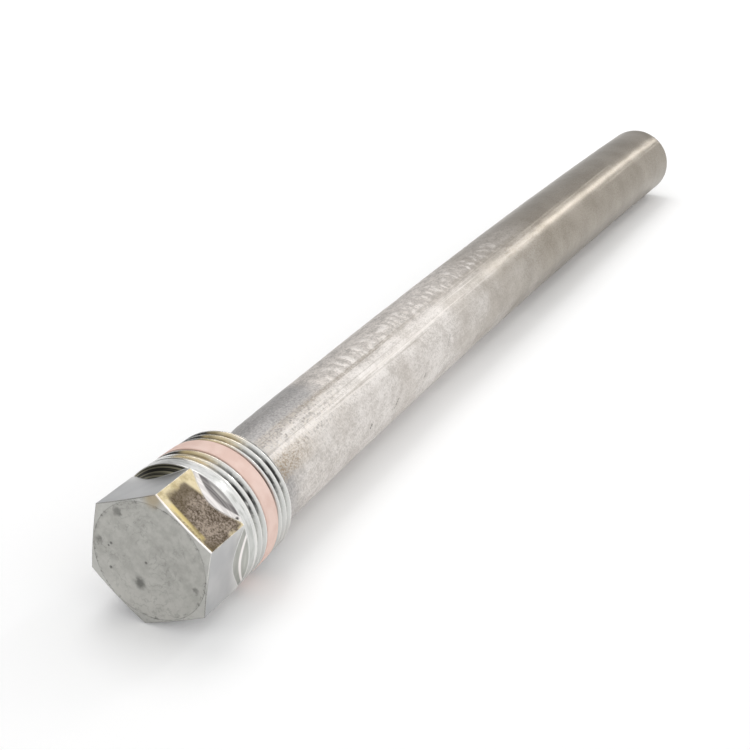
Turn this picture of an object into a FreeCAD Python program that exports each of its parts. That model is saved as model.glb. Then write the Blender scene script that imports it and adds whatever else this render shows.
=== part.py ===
import FreeCAD, Part
import math
import os

# Water heater anode rod: a hex-head steel plug with a tapered pipe thread, a band of sealant moulded
# into that thread, a magnesium rod, and the steel wire that runs through the rod into the plug.
# Each piece is made upright about the z axis, with the outer face of the head at z = 0, and is then
# laid on its side as the whole rod rests on a table, head towards -x and tip towards +x.

# Hex head and collar
hex_across_flats = 23.6
face_edge_width = 0.25
face_chamfer_angle = 10.0
flat_length = 7.0
runout_depth = 0.35
runout_length = 4.0
runout_hollow = 0.26
collar_diameter = 26.9
collar_length = 2.1
collar_notch = 0.25

# Tapered pipe thread, 3/4-14, right hand
threads_per_inch = 14.0
pitch_radius_at_end = 12.29
taper_on_diameter = 1.0 / 16.0
thread_angle = 60.0
crest_flat = 0.139
thread_length = 15.2
thread_start_angle = 130.0
thread_fade_angle = 120.0
collar_to_groove = 0.05
end_face_step = 0.15

# Sealant band
sealant_start = 4.4
sealant_width = 4.0
sealant_over_crest = 0.1

# Core wire
wire_diameter = 3.4
wire_depth_in_plug = 12.0
wire_recess_at_tip = 0.5
drill_point_angle = 118.0

# Magnesium rod
rod_diameter = 20.2
rod_length = 240.0
rod_bow = 1.3
rod_bow_direction = 306.0
rod_off_centre = 1.1
tip_rounding = 1.8

# Sizes that follow from those above
corner_radius = hex_across_flats / math.sqrt(3.0)
face_circle_radius = hex_across_flats / 2 - face_edge_width
collar_radius = collar_diameter / 2
collar_start = flat_length + runout_length
head_height = collar_start + collar_length
plug_length = head_height + thread_length
pitch = 25.4 / threads_per_inch
flank_slope = math.tan(math.radians(thread_angle / 2))
thread_depth = (pitch - crest_flat) / 2 / flank_slope
cutter_rise = crest_flat / 4 / flank_slope
wire_radius = wire_diameter / 2
rod_radius = rod_diameter / 2
tip_height = plug_length + rod_length


def crest_radius(height):
    """Radius over the thread's crests, which grows from the plug's end towards the head."""
    crest_over_pitch_line = thread_depth - pitch / 4 / flank_slope
    return pitch_radius_at_end + crest_over_pitch_line + (plug_length - height) * taper_on_diameter / 2


def spin(edges):
    """Solid of revolution about the z axis from a closed outline in the xz plane."""
    outline = Part.Wire(Part.__sortEdges__(edges))
    return Part.Face(outline).revolve(FreeCAD.Vector(0, 0, 0), FreeCAD.Vector(0, 0, 1), 360)


def at(radius, height):
    """Point of an outline, given by its radius and height."""
    return FreeCAD.Vector(radius, 0, height)


def polyline(points):
    """Straight edges that join the points in turn."""
    return [Part.makeLine(first, second) for first, second in zip(points, points[1:])]


def hex_head():
    """Six flats from the outer face to the collar, with the corners chamfered round the face."""
    corners = []
    for index in range(7):
        angle = math.radians(60 * index)
        corners.append(FreeCAD.Vector(corner_radius * math.cos(angle), corner_radius * math.sin(angle), 0))
    prism = Part.Face(Part.makePolygon(corners)).extrude(FreeCAD.Vector(0, 0, collar_start))
    outer = corner_radius + 1
    chamfer_height = (outer - face_circle_radius) * math.tan(math.radians(face_chamfer_angle))
    chamfered = spin(polyline([
        at(0, 0),
        at(face_circle_radius, 0),
        at(outer, chamfer_height),
        at(outer, collar_start),
        at(0, collar_start),
        at(0, 0)]))
    return prism.common(chamfered)


def turned_body():
    """Turned part of the plug: hollow run-outs behind the flats, collar, notch and tapered thread stub."""
    runout_start = at(hex_across_flats / 2 - runout_depth, flat_length)
    runout_end = at(collar_radius, collar_start)
    chord = runout_end - runout_start
    inward = FreeCAD.Vector(-chord.z, 0, chord.x).normalize()
    runout_middle = (runout_start + runout_end) * 0.5 + inward * runout_hollow
    notch_radius = collar_radius - collar_notch
    stub_start = head_height + crest_radius(head_height) - notch_radius
    end_radius = crest_radius(plug_length) - thread_depth - end_face_step
    chamfer_start = plug_length - crest_radius(plug_length) + end_radius
    return spin([Part.Arc(runout_start, runout_middle, runout_end).toShape()] + polyline([
        runout_end,
        at(collar_radius, head_height - collar_notch),
        at(notch_radius, head_height),
        at(crest_radius(stub_start), stub_start),
        at(crest_radius(chamfer_start), chamfer_start),
        at(end_radius, plug_length),
        at(0, plug_length),
        at(0, flat_length),
        runout_start]))


def wire_bore():
    """Drilled blind bore in the plug's end, the same size as the wire that is pressed into it."""
    bottom = plug_length - wire_depth_in_plug
    drill_point = wire_radius / math.tan(math.radians(drill_point_angle / 2))
    return spin(polyline([
        at(0, bottom - drill_point),
        at(wire_radius, bottom),
        at(wire_radius, plug_length + 1),
        at(0, plug_length + 1),
        at(0, bottom - drill_point)]))


def groove_curve(height_over_root, side, first_height, turns):
    """One helical edge of the thread groove, from its fade-out at the collar to past the plug's end."""
    steps_per_turn = 24
    half_width = height_over_root * flank_slope
    points = []
    for step in range(turns * steps_per_turn + 1):
        turned = step / steps_per_turn
        middle = first_height + turned * pitch
        fade = max(0.0, 1 - turned * 360 / thread_fade_angle)
        radius = crest_radius(middle) - thread_depth + height_over_root
        radius = radius + (thread_depth + 2 * cutter_rise) * fade ** 2
        angle = math.radians(thread_start_angle) + turned * 2 * math.pi
        points.append(FreeCAD.Vector(radius * math.cos(angle), radius * math.sin(angle),
                                     middle + side * half_width))
    curve = Part.BSplineCurve()
    curve.interpolate(Points=points, Parameters=[step / steps_per_turn for step in range(len(points))])
    return curve


def groove_cutter():
    """Helical cutter with the groove's section: two flanks that meet in a sharp root, and a lid over the crests."""
    lid_height = thread_depth + cutter_rise
    first_height = head_height + collar_to_groove + lid_height * flank_slope
    turns = math.ceil((plug_length + pitch - first_height) / pitch)
    curves = [groove_curve(0, 0, first_height, turns),
              groove_curve(lid_height, 1, first_height, turns),
              groove_curve(lid_height, -1, first_height, turns)]
    faces = []
    for turn in range(turns):
        edges = [curve.toShape(turn, turn + 1) for curve in curves]
        for edge, neighbour in zip(edges, edges[1:] + edges[:1]):
            faces.append(Part.makeRuledSurface(edge, neighbour))
    for end in (0, turns):
        corners = [curve.value(end) for curve in curves]
        faces.append(Part.Face(Part.makePolygon(corners + corners[:1])))
    shell = Part.makeShell(faces)
    shell.sewShape()
    return Part.makeSolid(shell)


def hex_head_plug():
    """Steel plug in one piece: hex head and turned body, with the wire's bore and the thread groove cut."""
    return turned_body().fuse(hex_head()).cut(wire_bore()).cut(groove_cutter())


def thread_sealant_band(plug):
    """Sealant that fills the thread over its width and stands a little over the crests."""
    near = head_height + sealant_start
    far = near + sealant_width
    inner = crest_radius(far) - thread_depth - 1
    ring = spin(polyline([
        at(inner, near),
        at(crest_radius(near) + sealant_over_crest, near),
        at(crest_radius(far) + sealant_over_crest, far),
        at(inner, far),
        at(inner, near)]))
    return ring.cut(plug)


def core_wire():
    """Steel wire from the bottom of the plug's bore to just inside the rod's tip."""
    bottom = plug_length - wire_depth_in_plug
    length = tip_height - wire_recess_at_tip - bottom
    return Part.makeCylinder(wire_radius, length, FreeCAD.Vector(0, 0, bottom))


def magnesium_rod():
    """Slightly bowed rod, cast a little off the wire, with a rounded tip and a through hole that grips the wire."""
    bow_radius = (rod_length ** 2 / 4 + rod_bow ** 2) / 2 / rod_bow
    middle = FreeCAD.Vector(rod_off_centre - rod_bow, 0, plug_length + rod_length / 2)
    bow_centre = middle + FreeCAD.Vector(bow_radius, 0, 0)
    across = FreeCAD.Vector(0, 1, 0)
    half_turn = math.degrees(math.asin((rod_length / 2 + rod_radius) / bow_radius))
    disc = Part.Face(Part.Wire(Part.makeCircle(rod_radius, middle)))
    disc.rotate(bow_centre, across, -half_turn)
    bar = disc.revolve(bow_centre, across, 2 * half_turn)
    room = Part.makeCylinder(rod_diameter, rod_length, at(0, plug_length))
    rod = bar.common(room)
    tip_edges = [edge for edge in rod.Edges if edge.BoundBox.ZMin > tip_height - tip_rounding / 2]
    rod = rod.makeFillet(tip_rounding, tip_edges)
    rod = rod.cut(Part.makeCylinder(wire_radius, rod_length, at(0, plug_length)))
    rod.rotate(FreeCAD.Vector(0, 0, 0), FreeCAD.Vector(0, 0, 1), rod_bow_direction)
    return rod


def lowest(shape, turn):
    """Height of a shape's lowest point once it is turned."""
    turned = shape.copy()
    turned.Placement = FreeCAD.Placement(FreeCAD.Vector(0, 0, 0), turn)
    return turned.optimalBoundingBox(False, False).ZMin


def resting_place(rod):
    """Placement that lays the upright pieces on their side.

    The whole rod comes to rest on three points: the collar's rim, one corner of the hex beside it,
    and the rounded edge of the tip. The tilt is closed in on in a few steps, and the roll follows.
    """
    body = turned_body()
    rim = head_height - collar_notch
    tilt = 0.0
    for _ in range(6):
        corner_share = (collar_radius + (rim - collar_start) * math.tan(tilt)) / corner_radius
        roll = math.acos(min(1.0, corner_share))
        turn = FreeCAD.Rotation(FreeCAD.Vector(0, 1, 0), 90 + math.degrees(tilt)).multiply(
            FreeCAD.Rotation(FreeCAD.Vector(0, 0, 1), math.degrees(roll)))
        tilt = tilt + (lowest(rod, turn) - lowest(body, turn)) / (tip_height - rim)
    whole = Part.Compound([hex_head(), body, rod])
    whole.Placement = FreeCAD.Placement(FreeCAD.Vector(0, 0, 0), turn)
    box = whole.optimalBoundingBox(False, False)
    shift = FreeCAD.Vector(-(box.XMin + box.XMax) / 2, -(box.YMin + box.YMax) / 2, -box.ZMin)
    return FreeCAD.Placement(shift, turn)


def main():
    """Make the four pieces, lay them down together and write one file for each."""
    plug = hex_head_plug()
    rod = magnesium_rod()
    pieces = {
        "hex_head_plug": plug,
        "thread_sealant_band": thread_sealant_band(plug),
        "core_wire": core_wire(),
        "magnesium_rod": rod,
    }
    place = resting_place(rod)
    os.makedirs("parts", exist_ok=True)
    for name, shape in pieces.items():
        shape.Placement = place
        shape.exportStep("parts/" + name + ".step")


main()
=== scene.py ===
import math

import bpy
from mathutils import Matrix, Quaternion, Vector, noise


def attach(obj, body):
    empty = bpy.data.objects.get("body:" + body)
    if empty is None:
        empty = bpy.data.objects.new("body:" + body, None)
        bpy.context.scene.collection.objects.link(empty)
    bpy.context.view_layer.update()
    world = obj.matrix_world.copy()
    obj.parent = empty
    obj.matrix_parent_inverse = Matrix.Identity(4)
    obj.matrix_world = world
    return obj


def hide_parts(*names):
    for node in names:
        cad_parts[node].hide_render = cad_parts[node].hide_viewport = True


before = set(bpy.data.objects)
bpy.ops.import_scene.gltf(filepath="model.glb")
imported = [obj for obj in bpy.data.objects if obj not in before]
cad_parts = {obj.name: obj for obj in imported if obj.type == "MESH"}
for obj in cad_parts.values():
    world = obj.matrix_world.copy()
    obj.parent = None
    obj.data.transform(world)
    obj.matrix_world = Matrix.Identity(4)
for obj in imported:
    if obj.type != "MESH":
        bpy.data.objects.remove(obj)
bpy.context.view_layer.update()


# Hex-head plug: one piece of steel bar, turned, milled and zinc plated. The head is chamfered round
# its outer face, hollow run-outs lead from the flats to the collar, and the taper pipe thread is cut
# behind it. The plating is dull and spotted on the face and yellow on one flat, and some crests have a
# yellow painted reflection.
head_face = Vector((-0.1341264, 0.0, 0.0135659))  # its middle, as the frame lays the rod down
lie = Quaternion((0.70184234, 0.05420491, 0.70823285, 0.05371581))  # from upright to lying
flat_distance = 0.0118
chamfer_circle = 0.01155
chamfer_slope = math.tan(math.radians(10))
flat_length = 0.007
collar_start = 0.011
head_height = 0.0131
plug_length = 0.0283
pitch = 0.0254 / 14


class Signal:
    """One value or colour on its way through a finish, with sums written as plain expressions."""

    def __init__(self, finish, socket):
        self.finish = finish
        self.socket = socket

    def combine(self, operation, first, second):
        return self.finish.node("ShaderNodeMath", {"operation": operation}, {0: first, 1: second})

    def __add__(self, other):
        return self.combine("ADD", self, other)

    def __radd__(self, other):
        return self.combine("ADD", other, self)

    def __sub__(self, other):
        return self.combine("SUBTRACT", self, other)

    def __rsub__(self, other):
        return self.combine("SUBTRACT", other, self)

    def __mul__(self, other):
        return self.combine("MULTIPLY", self, other)

    def __rmul__(self, other):
        return self.combine("MULTIPLY", other, self)

    def __pow__(self, other):
        return self.combine("POWER", self, other)

    def step(self, low, high):
        """0 at low and 1 at high, with a soft step between them, whichever of the two is the larger."""
        return self.finish.node("ShaderNodeMapRange", {"interpolation_type": "SMOOTHSTEP"},
                                {"Value": self, "From Min": low, "From Max": high})

    def band(self, start, full, still_full, end):
        """1 from full to still_full, with a soft step up from start and down to end."""
        return self.step(start, full) * self.step(end, still_full)


class Finish:
    """The nodes of one material or world, with places taken along the rod from the face of the head."""

    def __init__(self, owner):
        owner.use_nodes = True
        self.owner = owner
        self.tree = owner.node_tree
        self.tree.nodes.clear()

    def node(self, kind, settings, sockets, result=0):
        """Adds a node: its settings first, then a value or a link for each socket, and gives one result."""
        node = self.tree.nodes.new(kind)
        for key, value in settings.items():
            setattr(node, key, value)
        for key, value in sockets.items():
            socket = node.inputs[key] if isinstance(key, int) else next(
                s for s in node.inputs if key in (s.identifier, s.name))
            if isinstance(value, Signal):
                self.tree.links.new(value.socket, socket)
            else:
                socket.default_value = value
        if not node.outputs:
            return None
        output = node.outputs[result] if isinstance(result, int) else next(
            s for s in node.outputs if result in (s.identifier, s.name))
        return Signal(self, output)

    def along_rod(self):
        """A point's place in metres: across, across again, and along the rod from the head's face."""
        place = self.node("ShaderNodeTexCoord", {}, {}, "Object")
        return self.node("ShaderNodeMapping", {"vector_type": "TEXTURE"},
                         {"Vector": place, "Location": head_face, "Rotation": lie.to_euler()})

    def part(self, vector, name):
        return self.node("ShaderNodeSeparateXYZ", {}, {"Vector": vector}, name)

    def turn(self, x, y):
        """Degrees round the rod from its top, which grow towards the camera's side."""
        angle = self.node("ShaderNodeMath", {"operation": "ARCTAN2"}, {0: -1.0 * y, 1: -1.0 * x})
        return self.node("ShaderNodeMath", {"operation": "DEGREES"}, {0: angle})

    def dot(self, first, second):
        return self.node("ShaderNodeVectorMath", {"operation": "DOT_PRODUCT"},
                         {0: first, 1: second}, "Value")

    def stretch(self, vector, scale):
        return self.node("ShaderNodeMapping", {}, {"Vector": vector, "Scale": scale})

    def noise(self, vector, per_metre, detail, roughness=0.5):
        sockets = {"Vector": vector, "Scale": per_metre, "Detail": detail, "Roughness": roughness}
        return self.node("ShaderNodeTexNoise", {}, sockets, "Fac")

    def cells(self, vector, per_metre):
        """A value of its own for each small grain, as in a crystalline skin."""
        colour = self.node("ShaderNodeTexVoronoi", {}, {"Vector": vector, "Scale": per_metre}, "Color")
        return self.part(colour, "X")

    def mix(self, factor, first, second):
        """The first colour where the factor is 0, the second where it is 1."""
        colours = {}
        for key, colour in (("A_Color", first), ("B_Color", second)):
            colours[key] = colour if isinstance(colour, Signal) else (*colour, 1)
        return self.node("ShaderNodeMix", {"data_type": "RGBA"}, {"Factor_Float": factor, **colours},
                         "Result_Color")

    def spot(self, vector, centre, inner, outer):
        """A soft round mark, 1 within the inner radius of its centre and 0 beyond the outer."""
        distance = self.node("ShaderNodeVectorMath", {"operation": "DISTANCE"},
                             {0: vector, 1: centre}, "Value")
        return distance.step(outer, inner)

    def surface(self, sockets):
        shader = self.node("ShaderNodeBsdfPrincipled", {}, sockets)
        self.node("ShaderNodeOutputMaterial", {}, {"Surface": shader})
        return self.owner


def crest_radius(height):
    """Radius over the thread's crests, which grows from the plug's end towards the head."""
    end_radius = 0.0129553
    taper = 1 / 32
    return end_radius + (plug_length - height) * taper


steel = Finish(bpy.data.materials.new("zinc_plated_steel_plug"))
place = steel.along_rod()
x, y, z = (steel.part(place, name) for name in "XYZ")
radius = (x * x + y * y) ** 0.5
turn = steel.turn(x, y)
mottle = steel.noise(place, 380, 6, 0.65)
blotch = steel.noise(place, 150, 2)
grain = steel.noise(place, 2300, 3, 0.6)
fleck = steel.noise(place, 4200, 2, 0.6)
turning_marks = steel.noise(steel.stretch(place, (0.004, 0.004, 1.0)), 1900, 1)
face = z.step(0.00045, 0.0004)
azimuth = steel.node("ShaderNodeMath", {"operation": "ARCTAN2"}, {0: y, 1: x})
in_sector = steel.node("ShaderNodeMath", {"operation": "FLOORED_MODULO"}, {0: azimuth, 1: math.radians(60)})
from_middle = in_sector - math.radians(30)
outwards = radius * steel.node("ShaderNodeMath", {"operation": "COSINE"}, {0: from_middle})
past_flat = outwards - flat_distance
off_flat = past_flat.step(0.00001, 0.00012)
hollow = z.band(flat_length, flat_length + 0.0002, collar_start - 0.0002, collar_start + 0.0001) * off_flat
collar = z.band(collar_start, collar_start + 0.0002, head_height - 0.0002, head_height)
thread = z.step(head_height, head_height + 0.0004)

# dull plating on the face, clearer on the flats, painted light low on the face and on its chamfer,
# bright on the collar and thread
plug_colour = steel.mix(mottle.step(0.34, 0.66), (0.40, 0.395, 0.37), (0.50, 0.495, 0.465))
flats = steel.mix(blotch.step(0.3, 0.7), (0.49, 0.495, 0.50), (0.58, 0.58, 0.58))
# painted light: the face lighter towards its low side, where the floor lights it
plug_colour = steel.mix(x.step(0.001, 0.011) * 0.55, plug_colour, (0.62, 0.61, 0.575))
# painted light: the chamfer facets a little lighter than the face
chamfer_painted_light = radius.step(chamfer_circle - 0.00005, chamfer_circle + 0.0001)
plug_colour = steel.mix(chamfer_painted_light * 0.3, plug_colour, (0.62, 0.62, 0.60))
plug_colour = steel.mix(face, flats, plug_colour)
plug_colour = steel.mix(z.step(flat_length, collar_start), plug_colour, (0.76, 0.76, 0.745))

# grey smudges with smeared edges, small dark specks and fine scratches on the face, sizes in millimetres
smear_reach = 0.0014
smear = steel.node("ShaderNodeTexNoise", {}, {"Vector": place, "Scale": 900.0}, "Color")
smear = steel.node("ShaderNodeVectorMath", {"operation": "SCALE"}, {0: smear, "Scale": smear_reach})
smeared = steel.node("ShaderNodeVectorMath", {"operation": "ADD"}, {0: place, 1: smear})
smear_shift = Vector((1, 1, 1)) * smear_reach / 2
smudges = ((5.27, 1.46, 1.75, 0.8), (-7.27, 7.08, 1.3, 0.6), (-0.03, 10.4, 1.2, 0.5),
           (1.76, -9.8, 1.0, 0.6), (-3.2, -2.1, 1.3, 0.12), (2.4, 7.2, 1.1, 0.12))
specks = ((-0.39, 7.93, 0.42), (4.63, 7.63, 0.45), (0.55, 0.54, 0.40), (0.3, 8.4, 0.3))
marks = 0.0
for along_x, along_y, size, strength in smudges:
    centre = Vector((along_x, along_y, 0)) / 1000 + smear_shift
    marks = marks + steel.spot(smeared, centre, size * 0.0003, size * 0.001) * strength
for along_x, along_y, size in specks:
    centre = Vector((along_x, along_y, 0)) / 1000
    marks = marks + steel.spot(place, centre, size * 0.0003, size * 0.001) * 0.8
scratches = steel.noise(steel.stretch(place, (300, 3800, 300)), 1.0, 2)
scuffs = steel.noise(place, 1000, 5, 0.75)
swirls = steel.node("ShaderNodeTexWave", {"wave_type": "RINGS", "rings_direction": "SPHERICAL"}, {
    "Vector": smeared, "Scale": 200.0, "Distortion": 14.0, "Detail": 3.0, "Detail Scale": 2.2}, "Fac")
rim_marks = radius.band(0.0109, 0.0113, 0.0115, 0.0119) * scuffs.step(0.50, 0.62)
circle = radius.band(chamfer_circle - 0.00015, chamfer_circle - 0.00005,
                     chamfer_circle + 0.00001, chamfer_circle + 0.00011) * mottle.step(0.35, 0.6)
marks = marks + scratches.step(0.66, 0.74) * 0.15 + scuffs.step(0.60, 0.72) * 0.16
marks = marks + swirls.step(0.82, 1.0) * 0.22 * blotch.step(0.40, 0.6) + rim_marks * 0.5 + circle * 0.45
plug_colour = steel.mix(marks * face, plug_colour, (0.13, 0.13, 0.12))

# the hollow run-outs, all with turning marks and with their light and shade painted on: almost black on the
# far left as painted shade, a pale lip as a painted highlight, a painted dark strip and a paler one behind
# the yellow flat, a black spot at the end of that, and grey with one painted white highlight line on the
# right
stripes = turning_marks.step(0.46, 0.54)
far_left = turn.band(-90, -60, -8, 10)
near_right = turn.step(56, 64)
# painted highlights: a pale lip, and one white line on the right; painted shading in the strips
lip_highlight = past_flat.step(0.00062, 0.00046) * (1.0 - stripes * 0.25)
outer_strip = past_flat.step(0.00100, 0.00120)
painted_highlight_line = past_flat.band(0.0005, 0.0006, 0.00075, 0.00085)
run_out_painted_shading = steel.mix(0.25 + stripes * 0.5, (0.13, 0.12, 0.125), (0.38, 0.36, 0.35))
run_out_painted_shading = steel.mix(outer_strip * (0.35 + stripes * 0.5), run_out_painted_shading, (0.66, 0.65, 0.62))
run_out_painted_shading = steel.mix(near_right * 0.7, run_out_painted_shading, (0.50, 0.51, 0.47))
run_out_painted_shading = steel.mix(lip_highlight * (1.0 - near_right) + painted_highlight_line * near_right, run_out_painted_shading, (0.92, 0.88, 0.86))
spot_side = math.radians(233.5)
hollow_end = Vector((0.0131 * math.cos(spot_side), 0.0131 * math.sin(spot_side), 0.0105))
run_out_painted_shading = steel.mix(steel.spot(place, hollow_end, 0.0001, 0.0005) * 0.9, run_out_painted_shading, (0.03, 0.028, 0.028))
# painted shade: nearly black on the far left, with yellow turning marks
far_left_painted_shade = steel.mix(stripes * 0.60, (0.045, 0.043, 0.036), (0.66, 0.62, 0.44))
plug_colour = steel.mix(hollow, plug_colour, steel.mix(far_left, run_out_painted_shading, far_left_painted_shade))

# painted shade down in the grooves, in patches, darkest on the far left, a black painted reflection along
# one stretch in front, an even painted grey low down on the camera's side, and painted highlights on the
# crests
sunk = crest_radius(z) - radius
shadowed = turn.band(-100, -70, -20, -6)
groove_patches = steel.noise(steel.stretch(place, (1.0, 1.0, 0.4)), 900, 3, 0.7).step(0.30, 0.55)
streaks = steel.noise(steel.stretch(place, (0.3, 0.3, 1.0)), 1500, 3, 0.6)  # they run round the thread
groove = thread * sunk.step(0.00012, 0.00075)
front_dark_reflection = turn.band(18, 36, 54, 68) * streaks.step(0.40, 0.54)
evenly_lit_low_side = turn.band(52, 72, 110, 150)
# painted shade in the grooves, in patches, weaker low down on the camera's side
plug_colour = steel.mix(groove * (0.14 + groove_patches * 0.5) * (1.0 - evenly_lit_low_side * 0.7), plug_colour, (0.10, 0.10, 0.095))
plug_colour = steel.mix(groove.step(0.35, 0.9) * front_dark_reflection * 0.85, plug_colour, (0.02, 0.022, 0.022))
# painted even light: one grey over the thread low down on the camera's side
plug_colour = steel.mix(thread * evenly_lit_low_side * 0.45, plug_colour, (0.56, 0.57, 0.54))
plug_colour = steel.mix(thread * shadowed * sunk.step(0.00002, 0.00012) * 0.95, plug_colour, (0.012, 0.011, 0.010))
# painted highlights on the crests
crests = thread * sunk.step(0.00014, 0.00002) * (0.35 + streaks.step(0.35, 0.6) * 0.5)
plug_colour = steel.mix(crests, plug_colour, (0.90, 0.89, 0.86))
plug_colour = steel.mix(collar * streaks.step(0.42, 0.68) * 0.6, plug_colour, (0.40, 0.41, 0.38))
# painted even light low down on the collar
plug_colour = steel.mix(collar * evenly_lit_low_side * 0.6, plug_colour, (0.50, 0.515, 0.49))

# yellow passivation with a dark granular patch on one flat, a painted highlight along its front edge, and a
# painted yellow reflection on the crests near it
gold_side = math.radians(210)
across = y * math.cos(gold_side) - x * math.sin(gold_side)
up_to_flat = x * math.cos(gold_side) + y * math.sin(gold_side)
on_flat = up_to_flat.step(flat_distance - 0.00012, flat_distance - 0.00004) * (1.0 - off_flat)
on_flat = on_flat * z.step(collar_start, collar_start - 0.0003)
ragged = (mottle - 0.5) * 0.004
patch = (across + ragged).band(-0.0060, -0.0046, 0.0062, 0.0072)
patch = patch * (z + ragged * 0.4 + across * 0.12).step(0.0012, 0.0018)
patch = patch * (z - across * 0.25).step(0.0094, 0.0085)
gold = steel.mix(mottle.step(0.35, 0.65), (0.36, 0.295, 0.165), (0.60, 0.52, 0.345))
crumbs = (grain * 0.45 + fleck * 0.25 + mottle * 0.30).step(0.40, 0.60)
speckle = steel.mix(crumbs, (0.07, 0.05, 0.04), (0.40, 0.335, 0.285))
patch_across = 0.0024
patch_middle = Vector((flat_distance * math.cos(gold_side) - patch_across * math.sin(gold_side),
                       flat_distance * math.sin(gold_side) + patch_across * math.cos(gold_side), 0.0064))
from_patch = 1.0 - steel.spot(place, patch_middle, 0.0036, 0.0066)
speckle = steel.mix(from_patch * 0.65, speckle, (0.085, 0.06, 0.03))
strip = z.band(0.0008, 0.0011, 0.0016, 0.0021) * across.band(-0.0045, -0.0032, 0.0036, 0.0048)
dark_rim = z.band(0.0004, 0.0006, 0.0008, 0.0012) * across.step(-0.0035, 0.0)
gold = steel.mix(patch * (0.75 + fleck * 0.3), gold, speckle)
gold = steel.mix(dark_rim * crumbs * 0.8, gold, (0.11, 0.085, 0.06))
gold = steel.mix(strip * (0.3 + mottle.step(0.35, 0.55) * 0.6), gold, (0.60, 0.49, 0.22))
front_edge = z - (radius - chamfer_circle) * chamfer_slope
# painted highlight: a white line along the flat's front edge
gold = steel.mix(front_edge.step(0.00042, 0.00026) * 0.95, gold, (1.0, 0.95, 0.93))
plug_colour = steel.mix(on_flat, plug_colour, gold)
# painted reflection: yellow on the thread near the yellow flat, darker in the grooves
gold_reflection = turn.band(-30, -20, -8, 20)
gold_reflection = gold_reflection * thread * (0.5 + blotch.step(0.25, 0.5) * 0.5)
plug_colour = steel.mix(gold_reflection * 0.8, plug_colour, steel.mix(groove, (0.60, 0.48, 0.26), (0.22, 0.17, 0.08)))
top_corner = Vector((-0.0128, 0.0004, 0.0002))
tint = steel.spot(place, top_corner, 0.0006, 0.0026) * z.step(0.0008, 0.0004)
plug_colour = steel.mix(tint * 0.7, plug_colour, (0.40, 0.32, 0.20))

# painted highlights on the edges, but painted shade on the rim of the face on its low and far sides
softened = steel.node("ShaderNodeBevel", {"samples": 4}, {"Radius": 0.00022})
flat = steel.node("ShaderNodeNewGeometry", {}, {}, "Normal")
edge = steel.dot(softened, flat).step(0.997, 0.95)
highlit_side = turn.band(-6, 3, 80, 100)
# painted light and shade on the edges
edge_light_and_shade = steel.mix(z.step(0.0012, 0.0007) * (1.0 - highlit_side), (0.95, 0.94, 0.92), (0.13, 0.13, 0.12))
plug_colour = steel.mix(edge * (1.0 - thread * 0.6) * 0.9, plug_colour, edge_light_and_shade)
dullness = 0.30 + face * 0.16 + on_flat * patch * 0.25 + mottle * 0.1 - thread * 0.12
relief = mottle * 0.5 + grain * 0.25 + on_flat * patch * grain * 2.5 + hollow * turning_marks
plug_finish = steel.surface({
    "Base Color": plug_colour, "Metallic": 1.0, "Roughness": dullness,
    "Normal": steel.node("ShaderNodeBump", {}, {"Height": relief, "Strength": 0.35, "Distance": 0.00006,
                                                "Normal": softened})})
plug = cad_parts["hex_head_plug"]
plug.data.materials.clear()
plug.data.materials.append(plug_finish)


# Sealant band: a ring of pale pink sealing compound, moulded into the thread at the works, where it
# cures to a matt rubbery film. It fills the grooves, stands a little over the crests and has soft edges.
rod_to_row = Matrix.Translation(head_face) @ lie.to_matrix().to_4x4()
band_start = 0.0175
band_end = 0.0215
band_inside = 0.0114
band_edge = 0.00018


def rounded(height, radius, size, start, end, parts):
    """Heights and radii round a corner; 180 degrees looks to the head, 90 outwards and 0 to the tip."""
    angles = [math.radians(start + (end - start) * part / parts) for part in range(parts + 1)]
    return [(height + size * math.cos(angle), radius + size * math.sin(angle)) for angle in angles]


def turned_piece(name, outline, around, sink, centre):
    """Turns an outline of heights and radii round a line of centres, each point sunk by its own amount."""
    points = []
    faces = []
    for row, (height, radius) in enumerate(outline):
        for count in range(around):
            angle = 2 * math.pi * count / around
            reach = radius - sink(height, radius, angle)
            outward = Vector((reach * math.cos(angle), reach * math.sin(angle), height))
            points.append(rod_to_row @ (outward + centre(height, radius)))
            after = (count + 1) % around
            if row:
                faces.append(((row - 1) * around + count, (row - 1) * around + after,
                              row * around + after, row * around + count))
    mesh = bpy.data.meshes.new(name)
    mesh.from_pydata(points, [], faces)
    mesh.shade_smooth()
    piece = bpy.data.objects.new(name, mesh)
    bpy.context.scene.collection.objects.link(piece)
    return piece


def uneven(height, angle, size, seed):
    """Noise between -1 and 1 over the surface, with bumps of a given size in metres."""
    spread = 0.011 / size
    return noise.noise(Vector((math.cos(angle) * spread, math.sin(angle) * spread, height / size + seed)))


def band_sink(height, radius, angle):
    """The film is thinner here and there, and follows the crests under it faintly."""
    follow = math.cos(2 * math.pi * height / pitch - angle)
    return 0.00002 * (1 + uneven(height, angle, 0.004, 5)) + 0.000008 * (1 + follow)


over_crest = 0.0001
near_radius = crest_radius(band_start) + over_crest
far_radius = crest_radius(band_end) + over_crest
band_outline = [(band_start, band_inside)]
band_outline += rounded(band_start + band_edge, near_radius - band_edge, band_edge, 180, 90, 6)
band_rows = 16
for row in range(1, band_rows):
    share = row / band_rows
    band_outline.append((band_start + band_edge + (band_end - band_start - 2 * band_edge) * share,
                         near_radius + (far_radius - near_radius) * share))
band_outline += rounded(band_end - band_edge, far_radius - band_edge, band_edge, 90, 0, 6)
band_outline.append((band_end, band_inside))
band = turned_piece("sealant_band", band_outline, 240, band_sink, lambda height, radius: Vector((0, 0, 0)))

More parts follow.
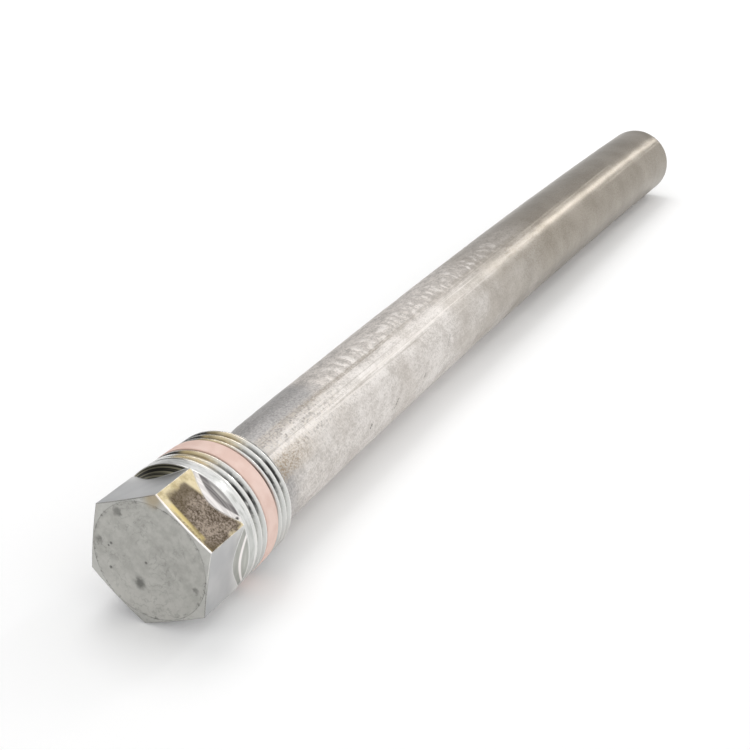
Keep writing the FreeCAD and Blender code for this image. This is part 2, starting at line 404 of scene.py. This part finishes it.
compound = Finish(bpy.data.materials.new("pink_sealing_compound"))
place = compound.along_rod()
cloud = compound.noise(place, 260, 4)
dust = compound.noise(place, 1900, 3)
z = compound.part(place, "Z")
pink = compound.mix(cloud.step(0.35, 0.65), (0.72, 0.52, 0.45), (0.79, 0.60, 0.53))
pink = compound.mix(dust.step(0.60, 0.75) * 0.35, pink, (0.84, 0.68, 0.62))
rim_width = 0.00035
rim = z.step(band_start + rim_width, band_start) + z.step(band_end - rim_width, band_end)
pink = compound.mix(rim * 0.35, pink, (0.55, 0.36, 0.30))
band.data.materials.append(compound.surface({
    "Base Color": pink, "Roughness": 0.62 + cloud * 0.16, "Specular IOR Level": 0.35,
    "Normal": compound.node("ShaderNodeBump", {}, {"Height": cloud * 0.5 + dust * 0.5, "Strength": 0.3,
                                                   "Distance": 0.00005})}))
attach(band, "root")
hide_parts("thread_sealant_band")


# Core wire: drawn steel, on which the magnesium is cast, and which is pressed into the plug. Only its
# sheared end shows, a little inside the rod's tip.
drawn = Finish(bpy.data.materials.new("drawn_wire"))
place = drawn.along_rod()
ring = drawn.noise(drawn.stretch(place, (1.0, 1.0, 0.03)), 5200, 3)
tarnish = drawn.noise(place, 900, 3)
wire_colour = drawn.mix(tarnish.step(0.35, 0.7), (0.34, 0.33, 0.32), (0.50, 0.49, 0.47))
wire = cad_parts["core_wire"]
wire.data.materials.clear()
wire.data.materials.append(drawn.surface({
    "Base Color": wire_colour, "Metallic": 1.0, "Roughness": 0.32 + tarnish * 0.25,
    "Normal": drawn.node("ShaderNodeBump", {}, {"Height": ring, "Strength": 0.4, "Distance": 0.00004})}))


# Magnesium rod: cast round the wire in a long mould, a little off centre, and bowed slightly as it
# cooled. It is grey where it was gripped near the plug, then bright and crystalline with fine lines
# along it, and duller and browner in the far half. The tip is rounded, and handling has left nicks.
rod_radius = 0.0101
tip = 0.26828
tip_rounding = 0.0018
wire_radius = 0.0017
hole_edge = 0.0002
bow = 0.0013
bow_direction = math.radians(306)
rod_off_centre = 0.0011
half_length = (tip - plug_length) / 2
bow_radius = (half_length ** 2 + bow ** 2) / 2 / bow


def rod_centre(height, radius):
    """The bowed line of centres, from which the middle of the end face leads over to the wire's hole."""
    sag = bow_radius - math.sqrt(bow_radius ** 2 - (height - plug_length - half_length) ** 2)
    share = min(1.0, max(0.0, (radius - wire_radius) / (rod_radius - tip_rounding - wire_radius)))
    offset = (rod_off_centre - bow + sag) * share
    return Vector((offset * math.cos(bow_direction), offset * math.sin(bow_direction), 0))


rod_outline = []
rod_rows = 412
for row in range(rod_rows):
    rod_outline.append((plug_length + (tip - tip_rounding - plug_length) * row / rod_rows, rod_radius))
rod_outline += rounded(tip - tip_rounding, rod_radius - tip_rounding, tip_rounding, 90, 0, 9)
end_rings = 11
end_radius = rod_radius - tip_rounding
for ring in range(1, end_rings + 1):
    rod_outline.append((tip, end_radius - (end_radius - wire_radius - hole_edge) * ring / end_rings))
rod_outline += [(tip - hole_edge, wire_radius), (tip - 0.003, wire_radius)]

# each nick's height, its place round the rod in degrees, its half length and its half width
nicks = ((0.0756, 266.3, 0.0007, 0.0004), (0.0765, 262.5, 0.0009, 0.0004), (0.0640, 263.2, 0.0006, 0.0004),
         (0.1041, 244.8, 0.0018, 0.0004), (0.0905, 262.0, 0.0006, 0.0004))
nick_slant = 0.8
nick_depth = 0.00018
chatter_spacing = 0.0024


def rod_sink(height, radius, angle):
    """Casting skin: broad hollows, a side flattened by the plug, grain past the grip, chatter and nicks."""
    if radius < wire_radius + 2 * hole_edge:
        return 0.0
    from_plug = height - plug_length
    off_plug = min(1.0, from_plug / 0.004)
    past_grip = (height - 0.054 - 0.004 * uneven(height, angle, 0.006, 2)) / 0.005
    grainy = min(1.0, max(0.0, past_grip))
    smoother = 0.6 * min(1.0, max(0.0, (height - 0.15) / 0.04))
    depth = 0.00006 * (1 + uneven(height, angle, 0.018, 1))
    depth += 0.00003 * (1 + uneven(height, angle, 0.0035, 7)) * off_plug
    depth += 0.00004 * grainy * (1.0 - smoother) * (1 + uneven(height, angle, 0.0014, 3))
    far_side = max(0.0, math.cos(angle - math.radians(150)))
    depth += 0.00035 * far_side * max(0.0, 1 - (from_plug / 0.011) ** 2)
    top = math.cos(angle - math.radians(172))
    if top > 0.9 and 0.058 < height < 0.15:
        wander = 3 * uneven(height, angle, 0.006, 9)
        ridge = 0.5 + 0.5 * math.sin(2 * math.pi * height / chatter_spacing + wander)
        depth += 0.00005 * ridge * (top - 0.9) / 0.1
    for at_height, at_angle, long, wide in nicks:
        along = height - at_height
        off = (angle - math.radians(at_angle)) * rod_radius + along * nick_slant
        depth += nick_depth * math.exp(-(along / long) ** 2 - (off / wide) ** 2)
    return depth


rod = turned_piece("magnesium_rod_skin", rod_outline, 176, rod_sink, rod_centre)

magnesium = Finish(bpy.data.materials.new("cast_magnesium"))
place = magnesium.along_rod()
x, y, z = (magnesium.part(place, name) for name in "XYZ")
turn = magnesium.turn(x, y)
upper = turn.step(24, 4)
tracks = turn.band(2, 10, 38, 52)
cloud = magnesium.noise(place, 110, 3)
drift = magnesium.noise(place, 42, 2)
dimples = magnesium.noise(magnesium.stretch(place, (1.0, 1.0, 0.75)), 620, 3, 0.6)
fine = magnesium.noise(place, 2400, 4, 0.65)
lines = magnesium.noise(magnesium.stretch(place, (1.0, 1.0, 0.012)), 900, 3, 0.6)
grooves = magnesium.noise(magnesium.stretch(place, (1.0, 1.0, 0.006)), 620, 2, 0.5)
crystal = magnesium.cells(place, 2100.0)
grit = magnesium.cells(place, 3600.0)
skin = (z + (cloud - 0.5) * 0.018 + (1.0 - upper) * 0.022).step(0.052, 0.060)
far = (z + (drift - 0.5) * 0.08 - upper * 0.010).step(0.105, 0.175)
near_plug = z.step(0.075, 0.045)

# grey by the plug with single grains, then pale and rough on top, smoother at the side, and brown
# beyond the middle, with fine lines and grooves along it
grip_grey = magnesium.mix(fine.step(0.38, 0.60), (0.36, 0.345, 0.34), (0.53, 0.515, 0.505))
grip_grey = magnesium.mix(tracks * fine.step(0.36, 0.52) * 0.6, grip_grey, (0.60, 0.545, 0.485))
rough_top = magnesium.mix((dimples * 0.40 + fine * 0.60).step(0.36, 0.60),
                          (0.46, 0.43, 0.40), (0.80, 0.752, 0.708))
pale_side = magnesium.mix((cloud * 0.25 + fine * 0.5 + dimples * 0.25).step(0.38, 0.60),
                          (0.55, 0.515, 0.48), (0.80, 0.765, 0.735))
brown = magnesium.mix((fine * 0.6 + cloud * 0.4).step(0.38, 0.62),
                      (0.255, 0.222, 0.178), (0.355, 0.317, 0.266))
colour = magnesium.mix(skin, grip_grey, magnesium.mix(upper, pale_side, rough_top))
light_grains = crystal.step(0.55, 1.0) * near_plug * (0.10 + tracks * 0.35)
dark_grains = crystal.step(0.35, 0.0) * near_plug * (0.20 + tracks * 0.30)
colour = magnesium.mix(light_grains, colour, (0.74, 0.69, 0.62))
colour = magnesium.mix(dark_grains, colour, (0.27, 0.245, 0.225))
colour = magnesium.mix(far, colour, brown)
colour = magnesium.mix(tracks * z.step(0.095, 0.135) * 0.3, colour, brown)
colour = magnesium.mix(drift.step(0.5, 0.7) * 0.3 * skin, colour, (0.45, 0.40, 0.345))
broken = fine.step(0.43, 0.54) * (1.0 - far * 0.6)
dark_lines = lines.step(0.54, 0.66) * (0.10 + tracks * 0.45) * broken
pale_lines = lines.step(0.46, 0.36) * (0.08 + tracks * 0.4) * (1.0 - far)
groove = grooves.band(0.53, 0.57, 0.58, 0.62) * tracks
colour = magnesium.mix(dark_lines, colour, (0.36, 0.31, 0.26))
colour = magnesium.mix(groove * broken * 0.5, colour, (0.30, 0.255, 0.205))
colour = magnesium.mix(pale_lines, colour, (0.90, 0.86, 0.82))

# chatter marks on top, tan marks beside the bright line by the plug, pits, and dark colour in the nicks
chatter = magnesium.node("ShaderNodeTexWave", {"wave_type": "BANDS", "bands_direction": "Z"}, {
    "Vector": place, "Scale": 95.0, "Distortion": 11.0, "Detail": 3.0, "Detail Scale": 1.6}, "Fac")
on_top = turn.band(-22, -10, 4, 14)
on_top = on_top * z.band(0.056, 0.066, 0.130, 0.160) * (0.15 + dimples.step(0.40, 0.62) * 0.85)
colour = magnesium.mix(chatter.step(0.55, 0.85) * on_top * 0.50, colour, (0.92, 0.885, 0.855))
colour = magnesium.mix(chatter.step(0.35, 0.10) * on_top * 0.40, colour, (0.34, 0.31, 0.29))
tan_side = math.radians(222)
up_to_tan = x * math.cos(tan_side) + y * math.sin(tan_side) + (fine - 0.5) * 0.0008
tan_marks = up_to_tan.step(0.0096, 0.0101) * z.step(0.048, 0.0295)
colour = magnesium.mix(tan_marks * 0.35, colour, (0.52, 0.43, 0.31))
colour = magnesium.mix(tan_marks * grit.step(0.55, 0.25) * 0.65, colour, (0.28, 0.19, 0.10))
pits = fine.step(0.63, 0.72) * (0.6 + skin * 0.4)
colour = magnesium.mix(pits * 0.5, colour, (0.15, 0.135, 0.12))
for at_height, at_angle, long, wide in nicks:
    for share in (-0.6, -0.4, -0.2, 0, 0.2, 0.4, 0.6):
        height = at_height - share * long
        angle = math.radians(at_angle) + share * long * nick_slant / rod_radius
        centre = Vector((rod_radius * math.cos(angle), rod_radius * math.sin(angle), height))
        centre = centre + rod_centre(height, rod_radius)
        nick_dark = magnesium.spot(place, centre, wide * 0.3, wide)
        colour = magnesium.mix(nick_dark * 0.6, colour, (0.10, 0.09, 0.08))
dullness = 0.43 + skin * 0.03 + fine * 0.12 - far * 0.22
relief = crystal * near_plug * 0.45 + fine * (1.1 - skin * 0.5 - far * 0.45) + chatter * on_top * 0.6
relief = relief + dimples * upper * skin * (1.0 - far * 0.85) * 1.8 + dimples * (0.4 - far * 0.3)
relief = relief + lines * 0.4 * (1.0 - far) + groove * 0.3
bumps = magnesium.node("ShaderNodeBump", {}, {"Height": relief, "Strength": 0.5, "Distance": 0.00013})
rod.data.materials.append(magnesium.surface({
    "Base Color": colour, "Metallic": 1.0, "Roughness": dullness, "Normal": bumps}))
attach(rod, "root")
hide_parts("magnesium_rod")


# Table: a plain white sheet under the rod, which keeps the rod's soft shadow. To the camera it glows a
# little, and more far off, so that it runs into the white room without an edge.
reach = 2.5
sheet = bpy.data.meshes.new("table")
sheet.from_pydata([(-reach, -reach, 0), (reach, -reach, 0), (reach, reach, 0), (-reach, reach, 0)], [],
                  [(0, 1, 2, 3)])
table = bpy.data.objects.new("table", sheet)
bpy.context.scene.collection.objects.link(table)
white = Finish(bpy.data.materials.new("white_table"))
paper = white.node("ShaderNodeBsdfDiffuse", {}, {"Color": (0.94, 0.94, 0.94, 1)})
place = white.node("ShaderNodeTexCoord", {}, {}, "Object")
distant = white.node("ShaderNodeVectorMath", {"operation": "LENGTH"}, {0: place}, "Value").step(0.35, 1.1)
seen = white.node("ShaderNodeLightPath", {}, {}, "Is Camera Ray")
glow = white.node("ShaderNodeEmission", {}, {"Strength": seen * (0.06 + distant * 0.9)})
both = white.node("ShaderNodeAddShader", {}, {0: paper, 1: glow})
white.node("ShaderNodeOutputMaterial", {}, {"Surface": both})
sheet.materials.append(white.owner)


# Light: a soft box overhead and to the rod's far side, a narrow one beyond its tip, laid along the rod,
# which draws the bright line on the metal, and a white room that is greyer beyond the tip and dark high up
# on the far side. The camera sees the room white all over.
distance = 0.9
for name, direction, width, length, power in (
        ("overhead", (0.20, 0.30, 0.93), 0.50, 0.50, 2.4),
        ("beyond_tip", (0.80, -0.26, 0.53), 0.05, 0.6, 0.55)):
    lamp = bpy.data.lights.new(name, "AREA")
    lamp.shape = "RECTANGLE"
    lamp.size = width
    lamp.size_y = length
    lamp.energy = power
    holder = bpy.data.objects.new(name, lamp)
    outwards = Vector(direction).normalized()
    lengthwise = (Vector((1, 0, 0)) - outwards * outwards.x).normalized()
    turned_to_rod = Matrix((lengthwise.cross(outwards), lengthwise, outwards)).transposed().to_4x4()
    holder.matrix_world = Matrix.Translation(outwards * distance) @ turned_to_rod
    bpy.context.scene.collection.objects.link(holder)

room = Finish(bpy.data.worlds.new("room"))
look = room.node("ShaderNodeTexCoord", {}, {}, "Generated")
dark_side = room.dot(look, Vector((0.10, 0.78, 0.62)).normalized()).step(0.72, 0.86)
beyond = room.dot(look, Vector((0.90, 0.34, 0.28)).normalized()).step(0.78, 0.94)
shade = room.mix(beyond, (1.0, 1.0, 1.0), (0.66, 0.66, 0.665))
shade = room.mix(dark_side, shade, (0.12, 0.12, 0.12))
camera_sees = room.node("ShaderNodeLightPath", {}, {}, "Is Camera Ray")
shade = room.mix(camera_sees, shade, (1.0, 1.0, 1.0))
room.node("ShaderNodeOutputWorld", {}, {"Surface": room.node("ShaderNodeBackground", {}, {"Color": shade})})
bpy.context.scene.world = room.owner
bpy.context.scene.view_settings.view_transform = "Standard"


# Camera: close to the head and a little above it, looking along the rod to its tip.
eye = bpy.data.cameras.new("camera")
eye.sensor_width = 36.0
eye.lens = 71.887
eye.clip_start = 0.01
camera = bpy.data.objects.new("camera", eye)
right = Vector((0.452281, -0.891900, -0.004100))
up = Vector((0.384104, 0.190600, 0.903356))
back = Vector((-0.804946, -0.410100, 0.428814))
stand = Vector((-0.311323, -0.134050, 0.152668))
camera.matrix_world = Matrix.Translation(stand) @ Matrix((right, up, back)).transposed().to_4x4()
bpy.context.scene.collection.objects.link(camera)
bpy.context.scene.camera = camera
